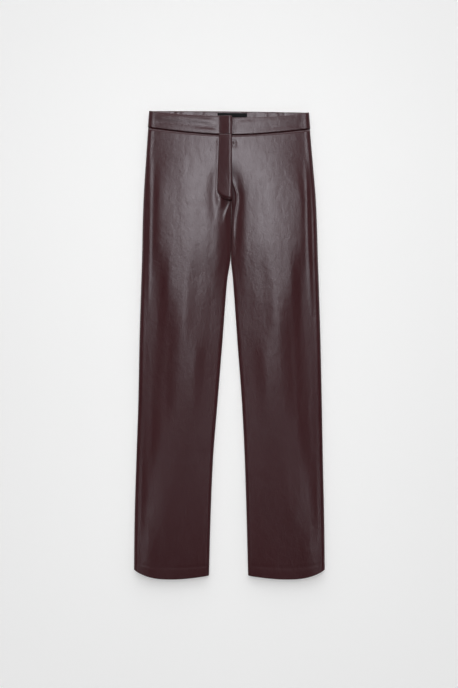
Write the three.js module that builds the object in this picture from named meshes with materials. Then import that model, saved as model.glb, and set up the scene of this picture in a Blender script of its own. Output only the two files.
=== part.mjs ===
// Women's straight-leg faux leather trousers, laid out flat with the front up.
// Millimetres. X runs across the garment (the wearer's left is +X), Y towards the waist and Z up from
// the surface it lies on. The origin is on that surface, in the middle of the garment's outline.
// Heights along the garment are given as "down": the distance below the top edge of the back waistband.
import * as THREE from "three";

// Driving dimensions
const fullLength = 1067; // top of the back waistband to the lowest point of the hem
const clothThickness = 1.2; // coated knit
const seamGap = 0.3; // between two pieces that are sewn together
const hemDepth = 27; // turned up inside, so the cloth is double there
const hemStep = 1.5; // length over which the turned-up layer begins
const sideRoll = 10; // width over which the cloth rolls round at a side seam
const backRoll = 9; // the same underneath, at side seams and inseams
const backHemShorter = 4; // how far the back hem lies inside the front hem

const crotchDown = 252; // where the four panels meet
const hemLiftAtSide = 22.5; // the hem's corners lie higher than its lowest point
const hemLiftAtInseam = 8.5;
const hemLowestShare = 0.52; // place of the lowest point across the leg, from the side seam
const hemCurve = { side: 2.8, inseam: 1.65 }; // powers of the hem's two curves
const waistBend = { ends: 170, power: 2 }; // the rows of cloth follow the waistband seam down to here
const hemBend = { starts: 900, power: 3 }; // and the hem from here

const bandThickness = 2.2; // two layers of cloth
const bandProud = 0.6; // how far the waistband stands above the panels below it
const bandLowerAtSide = 38.5; // waistband seam, at the side and at the centre front
const bandLowerAtCentre = 55;
const bandUpperAtSide = 1.2; // waistband's top edge, at the side and at the centre front
const bandUpperAtCentre = { right: 12.8, left: 16.2 };
const backBandLower = 42; // waistband seam at the centre back
const waistHalfWidth = 184;
const waistSkew = 0.01; // the waist lies slightly turned: mm lower for each mm towards the wearer's left
const skewEnds = 260; // down to where it is turned
const bandCurve = { lower: 1.6, upper: 2.5, back: 2 }; // powers of the waistband's edges across its half width

const flyEdge = 5.7; // x of the fly's free edge and of the waistband tab's end
const flyWidth = { top: 29.4, bottom: 33.3 };
const flyBottom = 205.4; // down to the lowest point of the fly
const flyCurveLift = 22; // how much higher the fly ends at its sewn edge
const flyCurvePower = 2.6;
const flyGrowth = 0.3; // how much higher it stands at its lower end than at its top
const flyHold = 0.8; // how far the fly keeps the height of its sewn edge where the front falls away below it
// How high the fly stands above the front at shares of its width, from the sewn edge to the free one.
const flyRise = [
  { share: 0, rise: 0 },
  { share: 0.78, rise: 4.9 },
  { share: 0.85, rise: 5.2 },
  { share: 0.92, rise: 5 },
  { share: 1, rise: 3.6 },
];
const tab = { width: 29, rise: 5.2, crest: 6, ease: 0.2, droop: 1.4, droopWidth: 5 }; // the waistband's overlap
const underlap = { end: -21, dive: 3.4, ease: 14 }; // the end below it, and how far past the tab it eases up

const zip = { centre: -1, width: 24, top: 58, bottom: 160, tape: 1, chain: 2.4, chainWidth: 6, slope: 1 };
const slider = { width: 9, length: 13, thickness: 2.4, belowZipTop: 2, bodyShare: 0.6 };
const hook = { left: -15, right: -5, top: 24, bottom: 38, thickness: 0.8 };
const label = { left: -27, right: 40, top: 4, bottom: 20, thickness: 1 };

// Sections down the garment: x of the two side seams and the two inseams. Above the crotch the
// insides are the centre front and centre back seams.
const outline = [
  { down: 0, rightSide: -182.5, rightInside: -1.15, leftInside: -0.85, leftSide: 181 },
  { down: 65, rightSide: -187.1, rightInside: -1.15, leftInside: -0.85, leftSide: 185.8 },
  { down: 165, rightSide: -193.8, rightInside: -1.15, leftInside: -0.85, leftSide: 194.5 },
  { down: 196, rightSide: -195.6, rightInside: 4.7, leftInside: 5, leftSide: 196.9 },
  { down: 252, rightSide: -197.7, rightInside: 4.7, leftInside: 5.1, leftSide: 199.6 },
  { down: 332, rightSide: -199.3, rightInside: 2.6, leftInside: 3.6, leftSide: 201.9 },
  { down: 384, rightSide: -201, rightInside: -4.6, leftInside: 8, leftSide: 203.7 },
  { down: 521, rightSide: -205.1, rightInside: -15.5, leftInside: 17.8, leftSide: 207.9 },
  { down: 658, rightSide: -207.8, rightInside: -26.4, leftInside: 28, leftSide: 210.9 },
  { down: 795, rightSide: -212.4, rightInside: -37.2, leftInside: 34.9, leftSide: 213.4 },
  { down: 931, rightSide: -216.4, rightInside: -42.9, leftInside: 39.2, leftSide: 216.4 },
  { down: 1067, rightSide: -218.1, rightInside: -46.5, leftInside: 42.6, leftSide: 218.1 },
];

// Sections down the garment: height of the front's outer surface at named places across each half.
const places = { shelf: 0.08, rise: 0.2, outer: 0.34, crown: 0.5, inner: 0.66, fall: 0.82, inside: 1 };
const relief = [
  { down: 0, seam: 4.5, shelf: 8.6, rise: 10.2, outer: 11.6, crown: 12.6, inner: 13.2, fall: 13.5, inside: 13.6 },
  { down: 60, seam: 4.8, shelf: 9.8, rise: 11.8, outer: 13.4, crown: 14.5, inner: 15.1, fall: 15.5, inside: 15.6 },
  { down: 105, seam: 5, shelf: 10.8, rise: 13.2, outer: 15.2, crown: 16.3, inner: 16.6, fall: 16.4, inside: 16.2 },
  { down: 156, seam: 5, shelf: 11.6, rise: 15.4, outer: 17, crown: 18, inner: 17.3, fall: 15.9, inside: 11.6 },
  { down: 202, seam: 5, shelf: 12.2, rise: 17, outer: 18, crown: 18.9, inner: 17.4, fall: 15.3, inside: 9.4 },
  { down: 293, seam: 5, shelf: 12.6, rise: 17.2, outer: 18.7, crown: 19.4, inner: 18, fall: 15.8, inside: 7.9 },
  { down: 384, seam: 5, shelf: 12.2, rise: 14, outer: 18.2, crown: 18.8, inner: 15.8, fall: 13.4, inside: 7.6 },
  { down: 475, seam: 5, shelf: 11.4, rise: 12.2, outer: 15.9, crown: 18.8, inner: 15.3, fall: 11.6, inside: 7.4 },
  { down: 567, seam: 5, shelf: 10.8, rise: 11.6, outer: 14.2, crown: 17.2, inner: 16, fall: 11.6, inside: 7.6 },
  { down: 658, seam: 5, shelf: 10.4, rise: 11.2, outer: 13.4, crown: 16, inner: 15.2, fall: 11.8, inside: 8.6 },
  { down: 740, seam: 5, shelf: 10, rise: 12, outer: 14.6, crown: 15, inner: 14, fall: 12, inside: 9.8 },
  { down: 890, seam: 5, shelf: 10.8, rise: 14, outer: 14.5, crown: 13.6, inner: 12.8, fall: 12, inside: 10.4 },
  { down: 980, seam: 5, shelf: 12.2, rise: 14, outer: 13.2, crown: 12.5, inner: 12.1, fall: 11.6, inside: 10.4 },
  { down: 1067, seam: 5, shelf: 12.8, rise: 12.6, outer: 12.2, crown: 11.9, inner: 11.6, fall: 11.2, inside: 10.2 },
];

// Round the crotch: how far the centre seam has sunk into the fold between the legs (0 not at all,
// 1 down to the inseam), in front and behind, and the width of each leg's roll into that fold.
const crotch = [
  { down: 0, front: 0, back: 0, rightRoll: 9, leftRoll: 9 },
  { down: 150, front: 0, back: 0, rightRoll: 8, leftRoll: 12 },
  { down: 180, front: 0.06, back: 0, rightRoll: 7, leftRoll: 13 },
  { down: 205, front: 0.26, back: 0.08, rightRoll: 8, leftRoll: 12 },
  { down: 230, front: 0.76, back: 0.5, rightRoll: 14, leftRoll: 8 },
  { down: 252, front: 1, back: 1, rightRoll: 14, leftRoll: 6 },
  { down: 290, front: 1, back: 1, rightRoll: 11, leftRoll: 5.5 },
  { down: 345, front: 1, back: 1, rightRoll: 9, leftRoll: 6 },
  { down: 430, front: 1, back: 1, rightRoll: 9, leftRoll: 8 },
  { down: 1067, front: 1, back: 1, rightRoll: 9, leftRoll: 9 },
];
const rollForms = { from: 0.3, to: 0.95 }; // how far the front has sunk where its edge becomes a full roll

// Rows of each panel: up to which height, in how many steps.
const frontRows = [
  { to: 150, steps: 4 },
  { to: 252, steps: 9 },
  { to: 345, steps: 5 },
  { to: 900, steps: 10 },
  { to: fullLength - hemDepth, steps: 4 },
  { to: fullLength - hemDepth + hemStep, steps: 1 },
  { to: fullLength, steps: 2 },
];
const backRows = [
  { to: 190, steps: 2 },
  { to: 252, steps: 4 },
  { to: 345, steps: 3 },
  { to: 900, steps: 7 },
  { to: fullLength - hemDepth, steps: 3 },
  { to: fullLength - hemDepth + hemStep, steps: 1 },
  { to: fullLength, steps: 2 },
];

// Columns of each panel: steps round its side roll, across it and round its inside roll.
const frontColumns = [4, 9, 5];
const backColumns = [3, 5, 3];

// Rows and columns of the smaller pieces, as shares of their length and width or as counts.
const bandRows = [0, 0.12, 0.5, 0.88, 1];
const flatRows = [0, 0.5, 1]; // of the back waistband and the label
const bandSteps = { side: 4, front: 14, back: 7, crowding: 1.6 };
const flyRows = [0, 0.08, 0.17, 0.26, 0.35, 0.44, 0.53, 0.62, 0.7, 0.78, 0.85, 0.91, 0.965, 1];
const flyColumns = [0, 0.08, 0.22, 0.36, 0.5, 0.64, 0.78, 0.85, 0.92, 1];
const steps = { zip: 8, slider: 2, hook: 2, label: 8 };

const clamp = THREE.MathUtils.clamp;
const lerp = THREE.MathUtils.lerp;
const smooth = (value, from, to) => THREE.MathUtils.smoothstep(value, from, to);

// A smooth curve through points that never overshoots them (monotone cubic).
function curveThrough(xs, ys) {
  const slopes = xs.slice(1).map((x, i) => (ys[i + 1] - ys[i]) / (x - xs[i]));
  const tangents = xs.map((_, i) => {
    const before = slopes[Math.max(i - 1, 0)];
    const after = slopes[Math.min(i, slopes.length - 1)];
    return before * after <= 0 ? 0 : (2 * before * after) / (before + after);
  });
  return (x) => {
    const at = clamp(x, xs[0], xs.at(-1));
    let i = 0;
    while (i < slopes.length - 1 && at > xs[i + 1]) i++;
    const width = xs[i + 1] - xs[i];
    const t = (at - xs[i]) / width;
    const rise = ys[i + 1] - ys[i];
    const start = tangents[i] * width;
    const end = tangents[i + 1] * width;
    return ys[i] + t * (start + t * (3 * rise - 2 * start - end + t * (start + end - 2 * rise)));
  };
}

// A table's columns as curves over its first column.
function columnsOf(table) {
  const downs = table.map((row) => row.down);
  const names = Object.keys(table[0]).filter((name) => name !== "down");
  return Object.fromEntries(names.map((name) => [name, curveThrough(downs, table.map((row) => row[name]))]));
}

const outlineAt = columnsOf(outline);
const reliefAt = columnsOf(relief);
const crotchAt = columnsOf(crotch);
const sideOf = { right: outlineAt.rightSide, left: outlineAt.leftSide };
const insideOf = { right: outlineAt.rightInside, left: outlineAt.leftInside };
const rollOf = { right: crotchAt.rightRoll, left: crotchAt.leftRoll };

// Height of the front's outer surface at a share of the way from the side seam to the inside.
function frontHeight(share, down) {
  const heights = Object.keys(places).map((name) => reliefAt[name](down));
  return curveThrough(Object.values(places), heights)(share);
}

// How much of its height the front has lost at an angle of its inside roll, where it sinks into the fold.
function sunkBy(height, seam, down, angle) {
  const sunk = crotchAt.front(down);
  const shallow = Math.sin((Math.PI / 2) * (1 - Math.cos(angle)));
  const rolled = lerp(shallow, Math.sin(angle), foldedAt(down));
  return (height - seam) * sunk * (1 - rolled);
}

const foldedAt = (down) => smooth(crotchAt.front(down), rollForms.from, rollForms.to);

// The front's outer surface at a place x in the middle of the garment, whichever panel lies there.
function frontHeightAt(x, down) {
  const half = x < (insideOf.right(down) + insideOf.left(down)) / 2 ? "right" : "left";
  const side = sideOf[half](down);
  const inside = insideOf[half](down);
  const height = frontHeight(clamp((x - side) / (inside - side), 0, 1), down);
  const angle = Math.acos(clamp(1 - Math.abs(inside - x) / rollOf[half](down), 0, 1));
  return height - sunkBy(frontHeight(1, down), reliefAt.seam(down), down, angle);
}

// Columns across a panel: steps round the side roll, across the middle and round the inside roll.
// A crowding above 1 brings the middle columns closer together towards the inside.
function columnsAcross(sideSteps, middleSteps, insideSteps, crowding = 1) {
  const columns = [];
  const middle = (i) => 1 - Math.pow(1 - i / middleSteps, crowding);
  for (let i = 0; i < sideSteps; i++) columns.push({ zone: "side", t: i / sideSteps });
  for (let i = 0; i < middleSteps; i++) columns.push({ zone: "middle", t: middle(i) });
  for (let i = insideSteps; i >= 0; i--) columns.push({ zone: "inside", t: i / Math.max(insideSteps, 1) });
  return columns;
}

// Where a column lies: x between the two ends, and how far it has come round its roll.
function across(column, side, inside, sideWidth, insideWidth) {
  const towards = Math.sign(inside - side);
  const angle = (column.t * Math.PI) / 2;
  if (column.zone === "side")
    return { x: side + towards * sideWidth * (1 - Math.cos(angle)), angle };
  if (column.zone === "inside")
    return { x: inside - towards * insideWidth * (1 - Math.cos(angle)), angle };
  return { x: lerp(side + towards * sideWidth, inside - towards * insideWidth, column.t), angle };
}

// Y of a height along the garment, with the waist's slight turn.
function yAt(down, x) {
  const turned = clamp(1 - down / skewEnds, 0, 1);
  return fullLength / 2 - down - waistSkew * x * turned;
}

// A point of the front's cloth, inset below its outer surface.
function frontPoint(half, place, column, inset) {
  const { side, inside, down } = place;
  const towards = Math.sign(inside - side);
  const fold = foldedAt(down);
  const insideRoll = rollOf[half](down);
  const outer = across(column, side, inside, sideRoll, insideRoll);
  const layer = across(
    column,
    side + towards * inset,
    inside - towards * inset * fold,
    sideRoll - inset,
    insideRoll - inset * fold,
  );
  let z = frontHeight((outer.x - side) / (inside - side), down) - inset;
  const seam = reliefAt.seam(down) + seamGap / 2;
  if (column.zone === "side") z -= (frontHeight(0, down) - inset - seam) * (1 - Math.sin(outer.angle));
  if (column.zone === "inside") z -= sunkBy(frontHeight(1, down) - inset * fold, seam, down, outer.angle);
  return new THREE.Vector3(layer.x, yAt(down, layer.x), z);
}

// A point of the back's cloth, inset above its underside, which is flat on the surface.
function backPoint(half, place, column, inset) {
  const { side, inside, down } = place;
  const towards = Math.sign(inside - side);
  const sunk = crotchAt.back(down);
  const layer = across(
    column,
    side + towards * inset,
    inside - towards * inset * sunk,
    backRoll - inset,
    backRoll - inset * sunk,
  );
  const seam = reliefAt.seam(down) - seamGap / 2;
  let z = inset;
  if (column.zone === "side") z += (seam - inset) * (1 - Math.sin(layer.angle));
  if (column.zone === "inside") z += (seam - inset) * sunk * (1 - Math.sin(layer.angle));
  return new THREE.Vector3(layer.x, yAt(down, layer.x), z);
}

// How far the hem lies above its lowest point, at a share of the way across the leg.
function hemLift(share) {
  if (share < hemLowestShare) return hemLiftAtSide * Math.pow(1 - share / hemLowestShare, hemCurve.side);
  return hemLiftAtInseam * Math.pow((share - hemLowestShare) / (1 - hemLowestShare), hemCurve.inseam);
}

// The waistband's edges in front, as heights down the garment.
const towardsSide = (x, power) => Math.pow(Math.min(Math.abs(x) / waistHalfWidth, 1), power);
const bandLower = (x) => lerp(bandLowerAtCentre, bandLowerAtSide, towardsSide(x, bandCurve.lower));
const bandUpper = (x, half) => lerp(bandUpperAtCentre[half], bandUpperAtSide, towardsSide(x, bandCurve.upper));
const backLower = (x) => lerp(backBandLower, bandLowerAtSide, towardsSide(x, bandCurve.back));

// Rows from the waistband seam to the hem. Each is bent to follow the seam and the hem near them.
function rowsDown(first, stops) {
  const rows = [first];
  for (const stop of stops) {
    const start = rows.at(-1);
    for (let i = 1; i <= stop.steps; i++) rows.push(lerp(start, stop.to, i / stop.steps));
  }
  return rows;
}

function bentDown(down, first, top, lift) {
  const nearWaist = Math.pow(clamp((waistBend.ends - down) / (waistBend.ends - first), 0, 1), waistBend.power);
  const nearHem = Math.pow(clamp((down - hemBend.starts) / (fullLength - hemBend.starts), 0, 1), hemBend.power);
  return down + (top - first) * nearWaist - lift * nearHem;
}

// A closed wall between two grids of points with the same rows and columns, faces outwards.
function wallBetween(outer, inner) {
  const rows = outer.length;
  const columns = outer[0].length;
  const points = [...outer.flat(), ...inner.flat()];
  const first = (i, j) => i * columns + j;
  const second = (i, j) => rows * columns + first(i, j);
  const faces = [];
  const quad = (a, b, c, d) => faces.push(a, b, c, a, c, d);
  for (let i = 0; i < rows - 1; i++)
    for (let j = 0; j < columns - 1; j++) {
      quad(first(i, j), first(i + 1, j), first(i + 1, j + 1), first(i, j + 1));
      quad(second(i, j), second(i, j + 1), second(i + 1, j + 1), second(i + 1, j));
    }
  for (let j = 0; j < columns - 1; j++) {
    quad(first(0, j), first(0, j + 1), second(0, j + 1), second(0, j));
    quad(first(rows - 1, j), second(rows - 1, j), second(rows - 1, j + 1), first(rows - 1, j + 1));
  }
  for (let i = 0; i < rows - 1; i++) {
    quad(first(i, 0), second(i, 0), second(i + 1, 0), first(i + 1, 0));
    quad(first(i, columns - 1), first(i + 1, columns - 1), second(i + 1, columns - 1), second(i, columns - 1));
  }
  let volume = 0;
  for (let k = 0; k < faces.length; k += 3) {
    const [a, b, c] = [points[faces[k]], points[faces[k + 1]], points[faces[k + 2]]];
    volume += a.dot(new THREE.Vector3().crossVectors(b, c));
  }
  if (volume < 0) faces.reverse();
  const geometry = new THREE.BufferGeometry();
  geometry.setAttribute("position", new THREE.Float32BufferAttribute(points.flatMap((p) => p.toArray()), 3));
  geometry.setIndex(faces);
  geometry.computeVertexNormals();
  return geometry;
}

const materials = {
  leather: new THREE.MeshStandardMaterial({ color: 0x43282b, roughness: 0.42, metalness: 0 }),
  labelCloth: new THREE.MeshStandardMaterial({ color: 0x16171a, roughness: 0.7, metalness: 0 }),
  zipTape: new THREE.MeshStandardMaterial({ color: 0x33211f, roughness: 0.8, metalness: 0 }),
  metal: new THREE.MeshStandardMaterial({ color: 0x6e6a66, roughness: 0.35, metalness: 1 }),
};

function piece(name, geometry, material) {
  const mesh = new THREE.Mesh(geometry, material);
  mesh.name = name;
  return mesh;
}

// One front or back panel: from the waistband seam to the turned-up hem.
function panel(half, pointOf, stops, columns, topEdge, shorter) {
  const start = topEdge(0) + seamGap;
  const bent = (down, x, lift) => bentDown(down, start, topEdge(x) + seamGap, lift);
  const grids = [0, clothThickness].map((inset) =>
    rowsDown(start, stops).map((down) => {
      const side = sideOf[half](bent(down, waistHalfWidth, hemLiftAtSide));
      const inside = insideOf[half](bent(down, 0, hemLiftAtInseam));
      const turnedUp = down > fullLength - hemDepth + hemStep / 2 ? 2 : 1;
      return columns.map((column) => {
        const { x } = across(column, side, inside, sideRoll, rollOf[half](down));
        const share = (x - side) / (inside - side);
        const lift = hemLift(share) + shorter * 4 * share * (1 - share);
        return pointOf(half, { side, inside, down: bent(down, x, lift) }, column, inset * turnedUp);
      });
    }),
  );
  return wallBetween(...grids);
}

const bandDown = (share) => lerp(bandUpperAtSide, bandLowerAtSide, share);

// One half of the front waistband. Its end at the centre rises or dives by shape(x).
function frontBand(half, end, shape) {
  const towards = half === "right" ? 1 : -1;
  const grids = [-bandProud, bandThickness - bandProud].map((inset) =>
    bandRows.map((share) =>
      columnsAcross(bandSteps.side, bandSteps.front, 0, bandSteps.crowding).map((column) => {
        const side = sideOf[half](bandDown(share));
        const { x, angle } = across(column, side, end, sideRoll, 0);
        const layer = across(column, side + towards * inset, end, sideRoll - inset, 0);
        const down = lerp(bandUpper(x, half), bandLower(x), share);
        const seam = reliefAt.seam(down) + seamGap / 2;
        let z = frontHeightAt(x, down) - inset + shape(x);
        if (column.zone === "side") z -= (frontHeight(0, down) - inset - seam) * (1 - Math.sin(angle));
        return new THREE.Vector3(layer.x, yAt(down, layer.x), z);
      }),
    ),
  );
  return wallBetween(...grids);
}

// The back waistband, from side seam to side seam, flat on the surface.
function backBand() {
  const oneHalf = columnsAcross(bandSteps.side, bandSteps.back, 0);
  const columns = [
    ...oneHalf.map((column) => ({ ...column, half: "right", towards: 1 })),
    ...oneHalf.slice(0, -1).reverse().map((column) => ({ ...column, half: "left", towards: -1 })),
  ];
  const grids = [0, bandThickness].map((inset) =>
    flatRows.map((share) =>
      columns.map((column) => {
        const side = sideOf[column.half](bandDown(share));
        const outer = side + column.towards * (inset - bandProud);
        const { x, angle } = across(column, outer, 0, backRoll - inset, 0);
        const down = lerp(bandUpperAtSide * towardsSide(x, bandCurve.back), backLower(x), share);
        const seam = reliefAt.seam(down) - seamGap / 2;
        const z = column.zone === "side" ? inset + (seam - inset) * (1 - Math.sin(angle)) : inset;
        return new THREE.Vector3(x, yAt(down, x), z);
      }),
    ),
  );
  return wallBetween(...grids);
}

// The fly: a strip of cloth with a curved end, sewn down on one edge. It stands up towards the other,
// because the zip and the front's other half lie behind it, and comes down to the front at its end.
function fly() {
  const riseAt = curveThrough(flyRise.map((row) => row.share), flyRise.map((row) => row.rise));
  const grids = [clothThickness, 0].map((above) =>
    flyRows.map((along) =>
      flyColumns.map((share) => {
        const width = lerp(flyWidth.top, flyWidth.bottom, along);
        const x = flyEdge - width * (1 - share);
        const end = flyBottom - flyCurveLift * Math.pow(1 - share, flyCurvePower);
        const down = lerp(bandLower(x) + seamGap, end, along);
        const front = frontHeightAt(x, down);
        const held = flyHold * (frontHeightAt(flyEdge - width, down) - front);
        const rise = riseAt(share) * (1 + flyGrowth * along);
        const lift = along < 1 ? Math.max(rise + held, 0) : 0;
        return new THREE.Vector3(x, yAt(down, x), front + seamGap + lift + above);
      }),
    ),
  );
  return wallBetween(...grids);
}

// A patch of even or varying thickness that follows the front's surface at a distance from it.
function frontPatch(size, xs, rows, topOffset, thicknessAt) {
  const grids = [0, 1].map((layer) =>
    Array.from({ length: rows + 1 }, (_, i) =>
      xs.map((x) => {
        const down = lerp(size.top, size.bottom, i / rows);
        const z = frontHeightAt(x, down) + topOffset(x) - layer * thicknessAt(x);
        return new THREE.Vector3(x, yAt(down, x), z);
      }),
    ),
  );
  return wallBetween(...grids);
}

const underPanels = () => -(clothThickness + 2 * seamGap);
const halfChain = zip.chainWidth / 2;

// The zip behind the fly: a tape with a thicker chain along its middle.
function zipTape() {
  const sides = [zip.width / 2, halfChain + zip.slope, halfChain];
  const xs = [...sides.map((side) => -side), ...sides.toReversed()].map((x) => x + zip.centre);
  const onChain = (x) => Math.abs(x - zip.centre) <= halfChain;
  return frontPatch(zip, xs, steps.zip, underPanels, (x) => (onChain(x) ? zip.chain : zip.tape));
}

function zipSlider() {
  const top = zip.top + slider.belowZipTop;
  const xs = [-1, -slider.bodyShare, slider.bodyShare, 1].map((share) => (share * slider.width) / 2 + zip.centre);
  const below = () => underPanels() - zip.chain - seamGap;
  const onBody = (x) => Math.abs(x - zip.centre) < slider.width / 2;
  const size = { top, bottom: top + slider.length };
  return frontPatch(size, xs, steps.slider, below, (x) => (onBody(x) ? slider.thickness : slider.thickness / 2));
}

// The waistband's two overlapping ends: the tab rises over the underlap, which dives below it.
const tabShape = (x) => {
  const risen = clamp((x - flyEdge + tab.width) / (tab.width - tab.crest), 0, 1);
  const drooped = clamp((x - flyEdge + tab.droopWidth) / tab.droopWidth, 0, 1);
  return tab.rise * lerp(risen, smooth(risen, 0, 1), tab.ease) - tab.droop * drooped * drooped;
};
const underlapShape = (x) => -underlap.dive * (1 - smooth(x, underlap.end, flyEdge + underlap.ease));

// The hook that holds the two ends together, between them.
function waistHook() {
  const top = (x) => bandProud + tabShape(x) - bandThickness - 2 * seamGap;
  const xs = [hook.left, (hook.left + hook.right) / 2, hook.right];
  return frontPatch(hook, xs, steps.hook, top, () => hook.thickness);
}

function backLabel() {
  const xs = Array.from({ length: steps.label + 1 }, (_, i) => lerp(label.left, label.right, i / steps.label));
  const bottom = bandThickness + seamGap;
  const grids = [label.thickness, 0].map((above) =>
    flatRows.map((share) =>
      xs.map((x) => new THREE.Vector3(x, yAt(lerp(label.top, label.bottom, share), x), bottom + above)),
    ),
  );
  return wallBetween(...grids);
}

const trousers = new THREE.Group();
for (const half of ["right", "left"]) {
  trousers.add(
    piece(
      `front_${half}`,
      panel(half, frontPoint, frontRows, columnsAcross(...frontColumns), bandLower, 0),
      materials.leather,
    ),
    piece(
      `back_${half}`,
      panel(half, backPoint, backRows, columnsAcross(...backColumns), backLower, backHemShorter),
      materials.leather,
    ),
  );
}
trousers.add(
  piece("waistband_front_right", frontBand("right", flyEdge, tabShape), materials.leather),
  piece("waistband_front_left", frontBand("left", underlap.end, underlapShape), materials.leather),
  piece("waistband_back", backBand(), materials.leather),
  piece("fly", fly(), materials.leather),
  piece("zip", zipTape(), materials.zipTape),
  piece("zip_slider", zipSlider(), materials.metal),
  piece("waist_hook", waistHook(), materials.metal),
  piece("waist_label", backLabel(), materials.labelCloth),
);

export default trousers;
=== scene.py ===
# Women's straight-leg faux leather trousers, laid out flat with the front up on a pale studio floor.
# Sizes are millimetres in the dictionaries and tables, and mm turns them into Blender's metres.
# "down" is the distance below the top edge of the back waistband, and halves are the wearer's.
import math
import bmesh
import bpy
import numpy as np
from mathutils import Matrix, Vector


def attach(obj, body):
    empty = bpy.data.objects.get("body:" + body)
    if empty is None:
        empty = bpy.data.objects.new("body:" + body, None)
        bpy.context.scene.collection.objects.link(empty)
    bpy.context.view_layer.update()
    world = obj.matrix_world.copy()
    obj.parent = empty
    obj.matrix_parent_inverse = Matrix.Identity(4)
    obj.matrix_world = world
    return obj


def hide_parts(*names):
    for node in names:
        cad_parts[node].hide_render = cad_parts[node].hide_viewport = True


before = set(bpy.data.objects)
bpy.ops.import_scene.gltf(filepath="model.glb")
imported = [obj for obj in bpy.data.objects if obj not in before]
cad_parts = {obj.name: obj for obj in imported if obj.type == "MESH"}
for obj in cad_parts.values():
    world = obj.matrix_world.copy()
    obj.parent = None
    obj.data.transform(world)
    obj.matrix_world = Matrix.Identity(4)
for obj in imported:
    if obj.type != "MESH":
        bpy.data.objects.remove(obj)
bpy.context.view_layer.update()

mm = 0.001

garment = dict(
    length=1067.0,  # top of the back waistband to the lowest point of the hem
    cloth=1.1,  # thickness of the coated knit
    seamGap=0.3,
    sideRoll=10.0,  # width over which the front rolls round at a side seam
    backRoll=9.0,
    waistHalfWidth=184.0,
    waistSkew=0.01,  # the waist lies slightly turned
)

# Sections down the garment: x of the side seams and inseams (above the crotch, of the centre seams).
outline = dict(
    down=[0, 65, 165, 196, 252, 332, 384, 521, 658, 795, 931, 1067],
    rightSide=[-182.5, -187.1, -193.8, -195.6, -197.7, -199.3, -201, -205.1, -207.8, -212.4, -216.4, -218.1],
    rightInside=[-1.02, -1.02, -1.02, 4.83, 4.88, 2.9, -4.6, -15.5, -26.4, -37.2, -42.9, -46.5],
    leftInside=[-0.98, -0.98, -0.98, 4.87, 4.96, 3.3, 8, 17.8, 28, 34.9, 39.2, 42.6],
    leftSide=[181, 185.8, 194.5, 196.9, 199.6, 201.9, 203.7, 207.9, 210.9, 213.4, 216.4, 218.1],
)

# Sections down the garment: the front's height at named places across each half.
reliefPlaces = [0.08, 0.2, 0.34, 0.5, 0.66, 0.82, 1]
relief = dict(
    down=[0, 60, 105, 156, 202, 293, 384, 475, 567, 658, 740, 890, 980, 1067],
    shelf=[8.6, 9.8, 10.8, 11.6, 12.2, 12.6, 12.2, 11.4, 10.8, 10.4, 10, 10.8, 12.2, 12.8],
    rise=[10.2, 11.8, 13.2, 15.4, 17, 17.2, 14, 12.2, 11.6, 11.2, 12, 14, 14, 12.6],
    outer=[11.6, 13.4, 15.2, 17, 18, 18.7, 18.2, 15.9, 14.2, 13.4, 14.6, 14.5, 13.2, 12.2],
    crown=[12.6, 14.5, 16.3, 18, 18.9, 19.4, 18.8, 18.8, 17.2, 16, 15, 13.6, 12.5, 11.9],
    inner=[13.2, 15.1, 16.6, 17.3, 17.4, 18, 15.8, 15.3, 16, 15.2, 14, 12.8, 12.1, 11.6],
    fall=[13.5, 15.5, 16.4, 15.9, 15.3, 15.8, 13.4, 11.6, 11.6, 11.8, 12, 12, 11.6, 11.2],
    inside=[13.6, 15.6, 16.2, 11.6, 9.4, 7.9, 7.6, 7.4, 7.6, 8.6, 9.8, 10.4, 10.4, 10.2],
    seam=[4.5, 4.8, 5, 5, 5, 5, 5, 5, 5, 5, 5, 5, 5, 5],
)

# Round the crotch: how far the centre seam has sunk into the fold between the legs, and the rolls' widths.
crotch = dict(
    down=[0, 150, 180, 205, 230, 252, 290, 345, 430, 1067],
    front=[0, 0, 0.06, 0.26, 0.76, 1, 1, 1, 1, 1],
    back=[0, 0, 0, 0.08, 0.5, 1, 1, 1, 1, 1],
    rightRoll=[9, 8, 7, 8, 14, 14, 11, 9, 9, 9],
    leftRoll=[9, 12, 13, 12, 8, 6, 5.5, 6, 8, 9],
)

# Shares of the fold's depth between which a leg's inside comes to roll right under.
foldedBetween = (0.3, 0.95)


def curveThrough(xs, ys, at):  # a monotone cubic through points; ys may hold one column for each place
    xs = np.asarray(xs, float)
    ys = np.asarray(ys, float)
    at = np.clip(np.asarray(at, float), xs[0], xs[-1])
    if ys.ndim == 1:
        ys = np.repeat(ys[:, None], at.size, axis=1)
    widths = np.diff(xs)[:, None]
    slopes = np.diff(ys, axis=0) / widths
    before, after = slopes[:-1], slopes[1:]
    same = before * after > 0
    middle = np.where(same, 2 * before * after / np.where(same, before + after, 1), 0)
    tangents = np.concatenate([slopes[:1], middle, slopes[-1:]])
    i = np.clip(np.searchsorted(xs, at, side="right") - 1, 0, len(xs) - 2)
    k = np.arange(at.size)
    width = widths[i, 0]
    t = (at - xs[i]) / width
    start, end = tangents[i, k] * width, tangents[i + 1, k] * width
    rise = ys[i + 1, k] - ys[i, k]
    return ys[i, k] + t * (start + t * (3 * rise - 2 * start - end + t * (start + end - 2 * rise)))


def tableAt(table, name, down):
    return curveThrough(table["down"], table[name], down)


def smooth(value, low, high):
    t = np.clip((value - low) / (high - low), 0, 1)
    return t * t * (3 - 2 * t)


def frontHeight(share, down):  # the front's outer surface before it rolls down at the sides
    names = ["shelf", "rise", "outer", "crown", "inner", "fall", "inside"]
    heights = np.stack([tableAt(relief, name, down) for name in names])
    return curveThrough(reliefPlaces, heights, share)


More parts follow.
